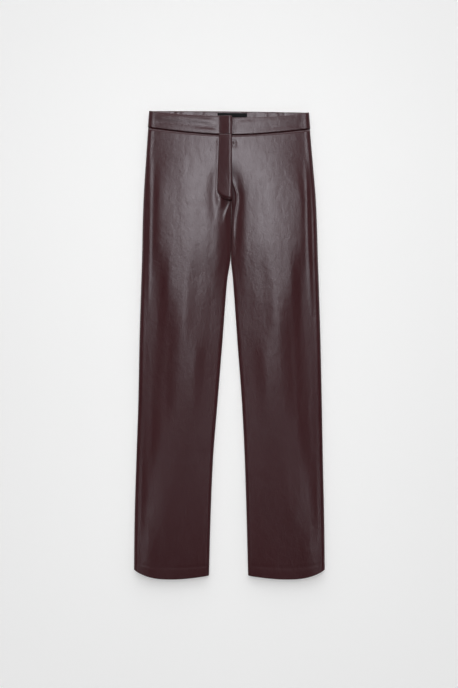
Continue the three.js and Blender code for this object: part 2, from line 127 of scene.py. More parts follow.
def sunkBy(height, seam, down, angle):  # what the front loses where it rolls into the fold between the legs
    sunk = tableAt(crotch, "front", down)
    shallow = np.sin(math.pi / 2 * (1 - np.cos(angle)))
    folded = smooth(sunk, *foldedBetween)
    return (height - seam) * sunk * (1 - shallow - (np.sin(angle) - shallow) * folded)


def frontHeightAt(x, down):  # the front's outer surface at any place in the middle of the garment
    rightInside, leftInside = (tableAt(outline, name, down) for name in ("rightInside", "leftInside"))
    isRight = x < (rightInside + leftInside) / 2
    inside = np.where(isRight, rightInside, leftInside)
    side = np.where(isRight, tableAt(outline, "rightSide", down), tableAt(outline, "leftSide", down))
    roll = np.where(isRight, tableAt(crotch, "rightRoll", down), tableAt(crotch, "leftRoll", down))
    height = frontHeight((x - side) / (inside - side), down)
    angle = np.arccos(np.clip(1 - np.abs(inside - x) / roll, 0, 1))
    lost = sunkBy(frontHeight(np.ones_like(down), down), tableAt(relief, "seam", down), down, angle)
    return height - lost + creaseHeight(x, down) * np.sin(angle)


def yAt(down, x):
    turned = np.clip(1 - down / 260, 0, 1)
    return garment["length"] / 2 - down - garment["waistSkew"] * x * turned


# Creases, listed one by one. Each follows its points; along it the height (a trough's is negative) and the width
# change smoothly, and it fades out where a height of 0 is given.
creases = dict(
    crotchRidgeLeft=dict(  # the sharp ridge that runs from the fly into the left leg
        x=[5, 10, 14, 16.6, 16.8, 15, 12.6, 10.8, 9.8, 9.4, 9],
        down=[150, 169, 181, 194, 206, 219, 231, 244, 257, 282, 340],
        height=[0, 0.5, 0.9, 1.2, 1.3, 1.3, 1.2, 1.1, 0.8, 0.6, 0],
        width=[3, 2.6, 2.3, 2.2, 2.2, 2.2, 2.3, 2.6, 2.8, 3, 3],
    ),
    crotchRidgeRight=dict(  # from the fly's lower end down into the right leg
        x=[5, 2.4, -1.8, -6.8, -9.6, -10.6],
        down=[203, 210, 220, 231.5, 242, 262],
        height=[0, 1.1, 1.3, 1.2, 0.9, 0],
        width=[3.2, 3.4, 3.6, 3.8, 3.8, 3.8],
    ),
    crotchHollowLeft=dict(  # the hollow outside that ridge
        x=[14, 19, 21, 18, 14],
        down=[140, 170, 205, 250, 330],
        height=[0, -0.9, -1.4, -1, 0],
        width=[8, 9, 9, 9, 9],
    ),
    crotchHollowRight=dict(
        x=[-30, -36, -37, -36, -34],
        down=[130, 160, 192, 225, 260],
        height=[0, -0.7, -0.9, -0.7, 0],
        width=[7, 8, 9, 8, 7],
    ),
    flyPucker=dict(x=[-26, -21, -19], down=[184, 203, 226], height=[0, 1.9, 0], width=[6, 8, 6]),
    flySeamRidge=dict(
        x=[-25, -25.6, -28.6, -29.4],
        down=[60, 70, 184, 196],
        height=[0, 0.5, 0.7, 0],
        width=[2, 2, 2.2, 2],
    ),
    sideRidgeRight=dict(
        x=[-176, -179, -180, -182, -184, -186],
        down=[100, 150, 200, 300, 400, 470],
        height=[0, 1, 1.5, 1.5, 0.8, 0],
        width=[5, 5, 5, 5, 5, 5],
    ),
    sideRidgeLeft=dict(
        x=[172, 176, 178, 180, 184, 188],
        down=[100, 150, 200, 300, 400, 470],
        height=[0, 1.1, 1.6, 1.6, 0.8, 0],
        width=[5, 5, 5, 5, 5, 5],
    ),
    tackDimpleRight=dict(x=[-29, -28.6, -28], down=[66, 73, 82], height=[0, -0.5, 0], width=[4, 4.4, 4]),
    tackPuckerRight=dict(
        x=[-27.8, -27.6, -27.4], down=[69.5, 72.5, 76], height=[0, 0.7, 0], width=[1.6, 1.8, 1.6]
    ),
    tackDimpleLeft=dict(x=[9, 10, 11], down=[64, 75, 90], height=[0, -1.1, 0], width=[4.5, 6, 6]),
    tackPuckerLeft=dict(x=[8.4, 8.6, 8.8], down=[70, 74, 78], height=[0, 1.3, 0], width=[1.8, 2, 1.8]),
)


def creaseHeight(x, down):
    total = np.zeros_like(x)
    for crease in creases.values():
        centre = curveThrough(crease["down"], crease["x"], down)
        width = curveThrough(crease["down"], crease["width"], down)
        height = curveThrough(crease["down"], crease["height"], down)
        inReach = (down >= crease["down"][0]) & (down <= crease["down"][-1])
        total += np.where(inReach, height * np.exp(-(((x - centre) / width) ** 2)), 0)
    return total


# Long soft folds that run down the cloth: where each starts and ends, how wide and how high it is.
softFolds = dict(
    xTop=[
        -160, -128, -96, -60, -38, 44, 70, 104, 131, 158,
        -150, -112, -84, 88, 118, 148, -172, 176, -120, 122,
    ],
    downTop=[
        70, 100, 90, 120, 230, 240, 110, 80, 120, 90,
        420, 380, 460, 400, 450, 430, 500, 520, 760, 740,
    ],
    xBottom=[
        -165, -134, -92, -52, -46, 48, 62, 100, 138, 166,
        -164, -120, -80, 84, 126, 160, -184, 188, -150, 140,
    ],
    downBottom=[
        420, 520, 400, 380, 560, 540, 400, 460, 500, 430,
        820, 760, 900, 840, 800, 860, 980, 960, 1020, 1010,
    ],
    width=[
        9, 12, 10, 8, 9, 9, 8, 11, 12, 9,
        10, 12, 12, 12, 11, 10, 7, 7, 12, 12,
    ],
    height=[
        -0.14, 0.16, -0.14, 0.14, -0.16, -0.16, 0.14, -0.14, 0.16, -0.14,
        0.3, -0.24, 0.24, 0.24, -0.24, 0.3, -0.3, -0.3, 0.3, 0.3,
    ],
)


def softHeight(x, down):
    total = np.zeros_like(x)
    for row in zip(*softFolds.values()):
        xTop, downTop, xBottom, downBottom, width, height = row
        t = np.clip((down - downTop) / (downBottom - downTop), 0, 1)
        centre = xTop + (xBottom - xTop) * t
        fade = np.sin(math.pi * t) ** 0.8
        total += height * fade * np.exp(-(((x - centre) / width) ** 2))
    return total


def columnsAcross(sideSteps, middleSteps, insideSteps, crowding=1.0):  # zone 0 side roll, 1 middle, 2 inside
    zone = [0] * sideSteps + [1] * middleSteps + [2] * (insideSteps + 1)
    t = [i / sideSteps for i in range(sideSteps)]
    t += [1 - (1 - i / middleSteps) ** crowding for i in range(middleSteps)]
    t += [i / max(insideSteps, 1) for i in range(insideSteps, -1, -1)]
    return np.array(zone), np.array(t)


def across(zone, t, side, inside, sideWidth, insideWidth):  # x of a column, and its angle round its roll
    towards = np.sign(inside - side)
    angle = t * math.pi / 2
    curl = 1 - np.cos(angle)
    low, high = side + towards * sideWidth, inside - towards * insideWidth
    ends = [side + towards * sideWidth * curl, low + (high - low) * t]
    return np.where(zone == 0, ends[0], np.where(zone == 1, ends[1], inside - towards * insideWidth * curl)), angle


def frontPoints(half, down, zone, t, side, inside, inset):
    towards = np.sign(inside - side)
    folded = smooth(tableAt(crotch, "front", down), *foldedBetween)
    sideRoll, insideRoll = garment["sideRoll"], tableAt(crotch, half + "Roll", down)
    outerX, angle = across(zone, t, side, inside, sideRoll, insideRoll)
    x, _ = across(
        zone, t, side + towards * inset, inside - towards * inset * folded,
        sideRoll - inset, insideRoll - inset * folded,
    )
    seam = tableAt(relief, "seam", down) + garment["seamGap"] / 2
    z = frontHeight((outerX - side) / (inside - side), down) - inset
    atSide = frontHeight(np.zeros_like(down), down) - inset - seam
    atInside = frontHeight(np.ones_like(down), down) - inset * folded
    z -= np.where(zone == 0, atSide * (1 - np.sin(angle)), 0)
    z -= np.where(zone == 2, sunkBy(atInside, seam, down, angle), 0)
    rolled = np.where(zone == 1, 1, np.sin(angle))
    z += (creaseHeight(outerX, down) + softHeight(outerX, down)) * rolled
    return np.stack([x, yAt(down, x), z], axis=1)


def backPoints(half, down, zone, t, side, inside, inset):
    towards = np.sign(inside - side)
    sunk = tableAt(crotch, "back", down)
    roll = garment["backRoll"]
    x, angle = across(
        zone, t, side + towards * inset, inside - towards * inset * sunk, roll - inset, roll - inset * sunk
    )
    seam = tableAt(relief, "seam", down) - garment["seamGap"] / 2
    lift = (seam - inset) * (1 - np.sin(angle))
    z = inset + np.where(zone == 0, lift, 0) + np.where(zone == 2, lift * sunk, 0)
    return np.stack([x, yAt(down, x), z], axis=1)


def gridMesh(columns, rows, place, flipped=False):  # a bmesh grid, each of whose points goes where place says
    bm = bmesh.new()
    bmesh.ops.create_grid(bm, x_segments=columns, y_segments=rows, size=1.0)
    column = np.array([round((vert.co.x + 1) / 2 * columns) for vert in bm.verts])
    row = np.array([round((1 - vert.co.y) / 2 * rows) for vert in bm.verts])
    for vert, point in zip(bm.verts, place(column, row)):
        vert.co = point * mm
    if flipped:
        bmesh.ops.reverse_faces(bm, faces=bm.faces[:])
    return bm


def finished(name, bm, materials, replaced=()):
    mesh = bpy.data.meshes.new(name)
    for face in bm.faces:
        face.smooth = True
    bm.to_mesh(mesh)
    bm.free()
    piece = bpy.data.objects.new(name, mesh)
    bpy.context.scene.collection.objects.link(piece)
    for material in materials:
        mesh.materials.append(material)
    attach(piece, "root")
    if replaced:
        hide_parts(*replaced)
    return piece


def thicken(piece, thickness, innerMaterial=0):
    wall = piece.modifiers.new("wall", "SOLIDIFY")
    wall.thickness = thickness * mm
    wall.offset = -1
    wall.use_even_offset = False
    wall.material_offset = innerMaterial


# Materials
def nodesOf(tree):
    def add(kind, inputs=None, **settings):
        node = tree.nodes.new(kind)
        for name, value in settings.items():
            setattr(node, name, value)
        for name, value in (inputs or {}).items():
            if isinstance(value, bpy.types.NodeSocket):
                tree.links.new(value, node.inputs[name])
            else:
                node.inputs[name].default_value = value
        return node

    return add


def newGroup(name, inputs, outputs):
    group = bpy.data.node_groups.new(name, "ShaderNodeTree")
    for socketName, kind, default in inputs:
        socket = group.interface.new_socket(socketName, in_out="INPUT", socket_type=kind)
        if default is not None:
            socket.default_value = default
    for socketName, kind in outputs:
        group.interface.new_socket(socketName, in_out="OUTPUT", socket_type=kind)
    return group, nodesOf(group)


def pebbleGroup():  # the coating's fine grain: small pebbles with soft valleys
    group, add = newGroup(
        "coatingGrain",
        [("Vector", "NodeSocketVector", None), ("Size", "NodeSocketFloat", 900.0)],
        [("Height", "NodeSocketFloat"), ("Valley", "NodeSocketFloat")],
    )
    given = add("NodeGroupInput")
    pebbles = add("ShaderNodeTexVoronoi", {"Vector": given.outputs["Vector"], "Scale": given.outputs["Size"]},
                  feature="SMOOTH_F1")
    fine = add("ShaderNodeTexNoise", {"Vector": given.outputs["Vector"], "Scale": 2600.0, "Detail": 2.0})
    valley = add("ShaderNodeMapRange", {"Value": pebbles.outputs["Distance"], "From Min": 0.25, "From Max": 0.75})
    height = add("ShaderNodeMath", {0: pebbles.outputs["Distance"], 1: -1.0, 2: fine.outputs["Fac"]},
                 operation="MULTIPLY_ADD")
    add("NodeGroupOutput", {"Height": height.outputs[0], "Valley": valley.outputs["Result"]})
    return group


def handlingGroup():  # slow changes over the cloth from stretching and handling
    group, add = newGroup(
        "handling",
        [("Vector", "NodeSocketVector", None), ("Size", "NodeSocketFloat", 9.0)],
        [("Cloud", "NodeSocketFloat"), ("Mottle", "NodeSocketFloat")],
    )
    given = add("NodeGroupInput")
    cloud = add("ShaderNodeTexNoise", {"Vector": given.outputs["Vector"], "Scale": given.outputs["Size"],
                                       "Detail": 3.0, "Roughness": 0.55})
    drawn = add("ShaderNodeMapping", {"Vector": given.outputs["Vector"], "Scale": (9.0, 5.0, 5.0),
                                      "Rotation": (0.0, 0.0, 0.5)})
    mottle = add("ShaderNodeTexNoise", {"Vector": drawn.outputs["Vector"], "Scale": given.outputs["Size"],
                                        "Detail": 2.0, "Roughness": 0.6, "Distortion": 0.4})
    add("NodeGroupOutput", {"Cloud": cloud.outputs["Fac"], "Mottle": mottle.outputs["Fac"]})
    return group


def weaveGroup():  # over and under threads, for the label, the tape and the knitted back of the cloth
    group, add = newGroup(
        "threads",
        [("Vector", "NodeSocketVector", None), ("Pitch", "NodeSocketFloat", 800.0)],
        [("Height", "NodeSocketFloat")],
    )
    given = add("NodeGroupInput")
    warp = add("ShaderNodeTexWave", {"Vector": given.outputs["Vector"], "Scale": given.outputs["Pitch"]},
               bands_direction="X", wave_profile="SIN")
    weft = add("ShaderNodeTexWave", {"Vector": given.outputs["Vector"], "Scale": given.outputs["Pitch"]},
               bands_direction="Y", wave_profile="SIN")
    both = add("ShaderNodeMath", {0: warp.outputs["Fac"], 1: weft.outputs["Fac"]}, operation="MULTIPLY")
    add("NodeGroupOutput", {"Height": both.outputs[0]})
    return group


groups = dict(grain=pebbleGroup(), handling=handlingGroup(), threads=weaveGroup())


def newMaterial(name):
    material = bpy.data.materials.new(name)
    material.use_nodes = True
    material.node_tree.nodes.clear()
    add = nodesOf(material.node_tree)
    place = add("ShaderNodeTexCoord").outputs["Object"]
    return material, add, place


def useGroup(add, name, place, **inputs):
    node = add("ShaderNodeGroup", node_tree=groups[name])
    node.id_data.links.new(place, node.inputs["Vector"])
    for socketName, value in inputs.items():
        node.inputs[socketName].default_value = value
    return node


leather = dict(
    tone=(0.0455, 0.0103, 0.0121, 1),  # burgundy brown
    deepTone=(0.0395, 0.0086, 0.0102, 1),
    roughness=(0.28, 0.315),
    grainSize=950.0,
    grainDepth=0.00006,
    creaseDepth=0.0004,  # fine unevenness from wearing and folding
    gloss=(0.94, 0.935, 1.0, 1),
)


def leatherMaterial():
    material, add, place = newMaterial("fauxLeather")
    grain = useGroup(add, "grain", place, Size=leather["grainSize"])
    handling = useGroup(add, "handling", place)
    tone = add("ShaderNodeMix", {"Factor": handling.outputs["Cloud"], 6: leather["deepTone"], 7: leather["tone"]},
               data_type="RGBA")
    low, high = leather["roughness"]
    roughness = add("ShaderNodeMapRange", {"Value": handling.outputs["Mottle"], "From Min": 0.3,
                                           "From Max": 0.7, "To Min": low, "To Max": high})
    uneven = add("ShaderNodeBump", {"Height": handling.outputs["Mottle"], "Distance": leather["creaseDepth"]})
    bump = add("ShaderNodeBump", {"Height": grain.outputs["Height"], "Distance": leather["grainDepth"],
                                  "Strength": 0.6, "Normal": uneven.outputs["Normal"]})
    shader = add("ShaderNodeBsdfPrincipled", {"Base Color": tone.outputs[2], "Normal": bump.outputs["Normal"],
                                              "Roughness": roughness.outputs["Result"], "IOR": 1.5,
                                              "Specular Tint": leather["gloss"]})
    add("ShaderNodeOutputMaterial", {"Surface": shader.outputs["BSDF"]})
    return material


def wovenMaterial(name, tone, deepTone, pitch, roughness, depth=0.0001, sheen=0.2, ior=1.45):
    material, add, place = newMaterial(name)
    threads = useGroup(add, "threads", place, Pitch=pitch)
    mixed = add("ShaderNodeMix", {"Factor": threads.outputs["Height"], 6: deepTone, 7: tone}, data_type="RGBA")
    bump = add("ShaderNodeBump", {"Height": threads.outputs["Height"], "Distance": depth, "Strength": 0.7})
    shader = add("ShaderNodeBsdfPrincipled", {"Base Color": mixed.outputs[2], "Normal": bump.outputs["Normal"],
                                              "Roughness": roughness, "Sheen Weight": sheen, "IOR": ior})
    add("ShaderNodeOutputMaterial", {"Surface": shader.outputs["BSDF"]})
    return material


def metalMaterial():
    material, add, place = newMaterial("dullNickel")
    handling = useGroup(add, "handling", place, Size=240.0)
    roughness = add("ShaderNodeMapRange", {"Value": handling.outputs["Mottle"], "To Min": 0.25, "To Max": 0.5})
    tone = add("ShaderNodeMix", {"Factor": handling.outputs["Cloud"], 6: (0.11, 0.1, 0.095, 1),
                                 7: (0.17, 0.16, 0.15, 1)}, data_type="RGBA")
    shader = add("ShaderNodeBsdfPrincipled", {"Base Color": tone.outputs[2], "Metallic": 1.0,
                                              "Roughness": roughness.outputs["Result"]})
    add("ShaderNodeOutputMaterial", {"Surface": shader.outputs["BSDF"]})
    return material


fauxLeather = leatherMaterial()
knitBack = wovenMaterial("knitBack", (0.05, 0.028, 0.028, 1), (0.03, 0.016, 0.016, 1), 420.0, 0.9)
labelSatin = wovenMaterial(
    "labelSatin", (0.008, 0.008, 0.01, 1), (0.003, 0.003, 0.004, 1), 900.0, 0.6, sheen=0.0, ior=1.25
)
tapeWeave = wovenMaterial("tapeWeave", (0.03, 0.018, 0.017, 1), (0.017, 0.01, 0.01, 1), 500.0, 0.8)
threadTwist = wovenMaterial("threadTwist", (0.12, 0.055, 0.06, 1), (0.09, 0.042, 0.045, 1), 1500.0, 0.5)
nickel = metalMaterial()
for nodeName, material in (("zip", tapeWeave), ("zip_slider", nickel), ("waist_hook", nickel)):
    for slotIndex in range(len(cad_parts[nodeName].material_slots)):
        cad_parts[nodeName].material_slots[slotIndex].material = material
print("materials ready")


# Waistband seam and edges, as heights down the garment
band = dict(
    thickness=2.2,
    proud=0.6,
    lowerAtSide=38.5,
    lowerAtCentre=55.0,
    upperAtSide=1.2,
    upperAtCentre=dict(right=12.8, left=16.2),
    backLower=42.0,
)


def towardsSide(x, power):
    return np.minimum(np.abs(x) / garment["waistHalfWidth"], 1) ** power


def bandLower(x):
    return band["lowerAtCentre"] + (band["lowerAtSide"] - band["lowerAtCentre"]) * towardsSide(x, 1.6)


def bandUpper(x, half):
    centre = band["upperAtCentre"][half]
    return centre + (band["upperAtSide"] - centre) * towardsSide(x, 2.5)


def backLower(x):
    return band["backLower"] + (band["lowerAtSide"] - band["backLower"]) * towardsSide(x, 2)


# Leg panels
panel = dict(
    frontColumns=(12, 74, 18),
    backColumns=(8, 30, 8),
    frontRows=[(150, 44), (345, 84), (900, 130), (1040, 34), (1064.5, 10)],
    backRows=[(345, 60), (900, 90), (1040, 24), (1064.5, 8)],
    tuck=4.0,  # the front panels go this far under the waistband
    tuckRows=4,
    tuckDrop=3.2,
    seamDip=0.5,  # the cloth draws in along each seam
    seamDipWidth=2.4,
    hemFold=1.15,  # radius of the fold at the hem
    hemDepth=26.0,
    foldRows=6,
    hemRows=9,
    waistReach=170.0,  # rows bend with the waistband seam above this, and with the hem below hemReach
    hemReach=900.0,
    hemStitchDip=0.4,
    hemLift=dict(side=22.5, inseam=8.5, lowestShare=0.52),
    backShorter=4.0,
)


def hemLift(share):
    lift = panel["hemLift"]
    toSide = lift["side"] * np.clip(1 - share / lift["lowestShare"], 0, 1) ** 2.8
    toInseam = lift["inseam"] * np.clip((share - lift["lowestShare"]) / (1 - lift["lowestShare"]), 0, 1) ** 1.65
    return toSide + toInseam


def bentDown(down, first, top, lift):  # rows follow the waistband seam near it, and the hem near it
    waistReach, hemReach = panel["waistReach"], panel["hemReach"]
    nearWaist = np.clip((waistReach - down) / (waistReach - first), 0, 1) ** 2
    nearHem = np.clip((down - hemReach) / (garment["length"] - hemReach), 0, 1) ** 3
    return down + (top - first) * nearWaist - lift * nearHem


def panelRows(first, stops, tuck):  # heights of the rows, and how deep each lies: the hem turns up inside
    downs = list(np.linspace(first - tuck, first, panel["tuckRows"] + 1)) if tuck else [first]
    for to, steps in stops:
        downs += list(np.linspace(downs[-1], to, steps + 1)[1:])
    fold = panel["hemFold"]
    edge = garment["length"] - fold
    turns = np.linspace(0, math.pi, panel["foldRows"] + 1)
    turnedUp = np.linspace(edge, edge - panel["hemDepth"], panel["hemRows"] + 1)[1:]
    insets = [0] * len(downs) + list(fold * (1 - np.cos(turns))) + [2 * fold] * len(turnedUp)
    downs += list(edge + fold * np.sin(turns)) + list(turnedUp)
    return np.array(downs), np.array(insets)


def panelPiece(name, node, half, isFront):
    topEdge, placed = (bandLower, frontPoints) if isFront else (backLower, backPoints)
    zones, ts = columnsAcross(*panel["frontColumns" if isFront else "backColumns"])
    first = float(topEdge(np.zeros(1))[0]) + garment["seamGap"]
    downs, insets = panelRows(first, panel["frontRows" if isFront else "backRows"], panel["tuck"] * isFront)

    def place(column, row):
        zone, t, down, inset = zones[column], ts[column], downs[row], insets[row]
        edgeAtSide = topEdge(np.full(down.shape, garment["waistHalfWidth"])) + garment["seamGap"]
        atSide = bentDown(down, first, edgeAtSide, panel["hemLift"]["side"])
        atInside = bentDown(down, first, first, panel["hemLift"]["inseam"])
        side = tableAt(outline, half + "Side", atSide)
        inside = tableAt(outline, half + "Inside", atInside)
        roll = tableAt(crotch, half + "Roll", down)
        x, angle = across(zone, t, side, inside, garment["sideRoll"], roll)
        share = (x - side) / (inside - side)
        lift = hemLift(share)
        if not isFront:
            lift = lift + panel["backShorter"] * 4 * share * (1 - share)
        actual = bentDown(down, first, topEdge(x) + garment["seamGap"], lift)
        fromSeam = np.where(zone == 0, angle * garment["sideRoll"], np.where(zone == 2, angle * roll, 99))
        parted = np.where(zone == 2, 1 - tableAt(crotch, "front", down), 1)  # below the crotch the legs touch
        draw = panel["seamDip"] * (1 - smooth(fromSeam, 0, panel["seamDipWidth"])) * parted
        if isFront:
            draw = draw + panel["tuckDrop"] * (1 - smooth(down - first, -0.4, 4.4))
            atStitch = (down - garment["length"] + panel["hemDepth"]) / 1.3
            draw = draw + panel["hemStitchDip"] * np.exp(-(atStitch**2)) * (inset < 0.1)
        return placed(half, actual, zone, t, side, inside, inset + draw)

    bm = gridMesh(len(zones) - 1, len(downs) - 1, place, flipped=(half == "left") == isFront)
    piece = finished(name, bm, [fauxLeather, knitBack], [node])
    thicken(piece, garment["cloth"], innerMaterial=1)
    return piece


for half in ("right", "left"):
    front = panelPiece("front" + half.title() + "Panel", "front_" + half, half, True)
    back = panelPiece("back" + half.title() + "Panel", "back_" + half, half, False)
print("leg panels laid")


# Waistband: each part is folded double, so its section is a flat loop with round edges
waist = dict(
    faceRows=12,
    edgeRows=8,
    columns=(12, 80, 0),
    backColumns=(10, 90, 0),
    weld=0.000002,  # metres: the loop's first and last rows meet
    tabWidth=29.0,
    tabRise=5.2,
    tabEnd=5.7,
    underlapDive=3.4,
    underlapEnd=-21.0,
    seamRound=0.9,
)
bandFolds = dict(  # folds dragged along the band: each follows its points across
    upperRight=dict(
        x=[-172, -150, -110, -75, -50, -30],
        down=[15, 17, 19, 22, 24, 25],
        height=[0, 0.7, 0.6, 0.7, 0.8, 0],
        width=[6, 6, 6, 6, 5, 5],
    ),
    lowerRight=dict(
        x=[-176, -150, -110, -75, -50, -28],
        down=[27, 28, 30, 33, 36, 39],
        height=[0, -0.6, -0.35, -0.6, -0.7, 0],
        width=[6.5, 6.5, 6.5, 6.5, 6, 6],
    ),
    hemRight=dict(x=[-90, -66, -42, -26], down=[44, 45.5, 47, 48], height=[0, 0.35, 0.5, 0], width=[3, 3, 3, 3]),
    upperLeft=dict(
        x=[10, 40, 90, 140, 168],
        down=[21, 20, 16, 12, 10],
        height=[0, -0.4, -0.3, -0.4, 0],
        width=[4, 4, 4, 4, 4],
    ),
    lowerLeft=dict(
        x=[60, 90, 125, 155, 172],
        down=[42, 38, 33, 29, 27],
        height=[0, -0.4, -0.6, -0.6, 0],
        width=[6, 6, 6, 6, 6],
    ),
)
innerRipples = dict(  # ripples in the back band's inner face, where it shows above the front
    x=[-128, -119.5, -108, -84, -55.6, 35.6, 62, 84, 108.5, 126],
    width=[3, 3, 4, 7, 3.5, 5, 7, 4, 4, 4],
    height=[-0.4, 0.7, 0.6, -0.4, 0.6, 0.5, -0.4, 0.5, 0.6, -0.4],
)


def loopSection(step):  # round a band's section: share of its height from the top, and of its thickness
    face, edge = waist["faceRows"], waist["edgeRows"]
    up = np.clip(step / face, 0, 1)
    over = np.clip((step - face) / edge, 0, 1)
    downAgain = np.clip((step - face - edge) / face, 0, 1)
    under = np.clip((step - 2 * face - edge) / edge, 0, 1)
    height = 1 - up + downAgain
    turn = over - under  # 0 on the outer face, 1 on the inner
    bulge = np.where(over < 1, np.sin(over * math.pi), 0) - np.where(under > 0, np.sin(under * math.pi), 0)
    return height, (1 - np.cos(turn * math.pi)) / 2, bulge


def bandFoldHeight(x, down):
    total = np.zeros_like(x)
    for fold in bandFolds.values():
        centre, width, height = (curveThrough(fold["x"], fold[name], x) for name in ("down", "width", "height"))
        total += height * np.exp(-(((down - centre) / width) ** 2))
    return total


def tabShape(x):
    end, width = waist["tabEnd"], waist["tabWidth"]
    ramp = np.clip((x - end + width) / (width - 6), 0, 1)
    droop = 1.4 * np.clip((x - end + 5) / 5, 0, 1) ** 2
    return waist["tabRise"] * (0.8 * ramp + 0.2 * smooth(ramp, 0, 1)) - droop


def underlapShape(x):
    return -waist["underlapDive"] * (1 - smooth(x, waist["underlapEnd"], waist["tabEnd"] + 14))


def roundedThickness(fromEnd):
    closing = np.clip(1 - fromEnd / waist["seamRound"], 0, 1)
    return np.sqrt(1 - closing**2)


def frontBandPiece(name, node, half, end, shape):
    zones, ts = columnsAcross(*waist["columns"], crowding=1.6)
    rows = 2 * (waist["faceRows"] + waist["edgeRows"])
    radius = band["thickness"] / 2
    towards = 1 if half == "right" else -1

    def place(column, row):
        zone, t = zones[column], ts[column]
        height, depth, bulge = loopSection(row.astype(float))
        sideDown = band["upperAtSide"] + (band["lowerAtSide"] - band["upperAtSide"]) * height
        side = tableAt(outline, half + "Side", sideDown)
        x, angle = across(zone, t, side, np.full(side.shape, end), garment["sideRoll"], 0)
        fromEnd = np.where(zone == 0, angle * garment["sideRoll"], np.abs(end - x))
        opened = roundedThickness(fromEnd)
        inset = radius + (depth * 2 - 1) * radius * opened - band["proud"]
        layerX, _ = across(zone, t, side + towards * inset, end, garment["sideRoll"] - inset, 0)
        upper, lower = bandUpper(x, half) + radius, bandLower(x) - radius
        down = upper + (lower - upper) * height - bulge * radius * opened
        seam = tableAt(relief, "seam", down) + garment["seamGap"] / 2
        z = frontHeightAt(x, down) - inset + shape(x)
        atSide = frontHeight(np.zeros_like(down), down) - inset - seam
        z -= np.where(zone == 0, atSide * (1 - np.sin(angle)), 0)
        z += bandFoldHeight(x, down) * np.where(zone == 0, np.sin(angle), 1)
        return np.stack([layerX, yAt(down, layerX), z], axis=1)

    bm = gridMesh(len(zones) - 1, rows, place, flipped=half == "right")
    bmesh.ops.remove_doubles(bm, verts=bm.verts[:], dist=waist["weld"])
    return finished(name, bm, [fauxLeather], [node])


def innerBandHeight(x, down):
    total = np.zeros_like(x)
    for xRipple, width, height in zip(*innerRipples.values()):
        total += height * np.exp(-(((x - xRipple) / width) ** 2))
    return total * smooth(down, 0, 5)


def backBandPiece():
    oneZone, oneT = columnsAcross(*waist["backColumns"])
    zones = np.concatenate([oneZone, oneZone[:-1][::-1]])
    ts = np.concatenate([oneT, oneT[:-1][::-1]])
    isRight = np.arange(len(zones)) < len(oneZone)
    rows = 2 * (waist["faceRows"] + waist["edgeRows"])
    radius = band["thickness"] / 2
    roll = garment["backRoll"]

    def place(column, row):
        zone, t, right = zones[column], ts[column], isRight[column]
        towards = np.where(right, 1, -1)
        height, depth, bulge = loopSection(row.astype(float))
        sideDown = band["upperAtSide"] + (band["lowerAtSide"] - band["upperAtSide"]) * height
        side = np.where(right, tableAt(outline, "rightSide", sideDown), tableAt(outline, "leftSide", sideDown))
        outerX, angle = across(zone, t, side - towards * band["proud"], np.zeros(t.shape), roll, 0)
        opened = roundedThickness(np.where(zone == 0, angle * roll, 99))
        inset = radius + (depth * 2 - 1) * radius * opened
        x, angle = across(zone, t, side + towards * (inset - band["proud"]), np.zeros(t.shape), roll - inset, 0)
        upper = band["upperAtSide"] * towardsSide(x, 2) + radius
        lower = backLower(x) - radius
        down = upper + (lower - upper) * height - bulge * radius * opened
        seam = tableAt(relief, "seam", down) - garment["seamGap"] / 2
        z = inset + np.where(zone == 0, (seam - inset) * (1 - np.sin(angle)), 0)
        z += innerBandHeight(x, down) * depth * np.where(zone == 0, np.sin(angle), 1)
        return np.stack([x, yAt(down, x), z], axis=1)

    bm = gridMesh(len(zones) - 1, rows, place)
    bmesh.ops.remove_doubles(bm, verts=bm.verts[:], dist=waist["weld"])
    return finished("backWaistband", bm, [fauxLeather], ["waistband_back"])


rightBand = frontBandPiece("frontRightWaistband", "waistband_front_right", "right", waist["tabEnd"], tabShape)
leftBand = frontBandPiece(
    "frontLeftWaistband", "waistband_front_left", "left", waist["underlapEnd"], underlapShape
)
backBandPiece()
print("waistband folded")


# Fly
fly = dict(
    edge=5.7,
    widthTop=29.4,
    widthBottom=33.3,
    bottom=205.4,
    curveLift=22.0,
    curvePower=2.6,
    rise=[(0, 0), (0.78, 4.9), (0.85, 5.2), (0.92, 5), (1, 3.6)],  # share of the width from the sewn edge, and height
    growth=0.3,  # how much higher it stands at its lower end than at its top
    held=0.8,  # how far it keeps the sewn edge's height where the front falls away under it
    cloth=1.2,
    borderRound=1.8,
    ease=60.0,  # it comes down to the front over its last few millimetres
    sewnDrop=0.7,
    edgeEase=30.0,
    edgeDrop=0.9,
    columns=44,
    rows=110,
)


def flyPlace(share, along):  # x and down at a share of its width and length
    width = fly["widthTop"] + (fly["widthBottom"] - fly["widthTop"]) * along
    x = fly["edge"] - width * (1 - share)
    end = fly["bottom"] - fly["curveLift"] * (1 - share) ** fly["curvePower"]
    top = bandLower(x) + garment["seamGap"]
    return x, top + (end - top) * along


def flyTop(share, along):
    x, down = flyPlace(share, along)
    sewn, _ = flyPlace(np.zeros_like(share), along)
    below = frontHeightAt(x, down)
    rise = curveThrough(*zip(*fly["rise"]), share) * (1 + fly["growth"] * along)
    rise += fly["held"] * (frontHeightAt(sewn, down) - below)
    border = np.minimum((1 - along) * fly["ease"], share * fly["ease"])
    closing = np.clip(1 - border / (2 * fly["borderRound"]), 0, 1)
    edge = np.clip(1 - (1 - share) * fly["edgeEase"] / fly["borderRound"], 0, 1)
    rise = np.maximum(rise, 0) * np.sqrt(1 - closing**2) - fly["edgeDrop"] * (1 - np.sqrt(1 - edge**2))
    sewnDown = fly["sewnDrop"] * (1 - np.sqrt(1 - closing**2))
    height = garment["seamGap"] + fly["cloth"] + rise - sewnDown
    return np.stack([x, yAt(down, x), below + height], axis=1)


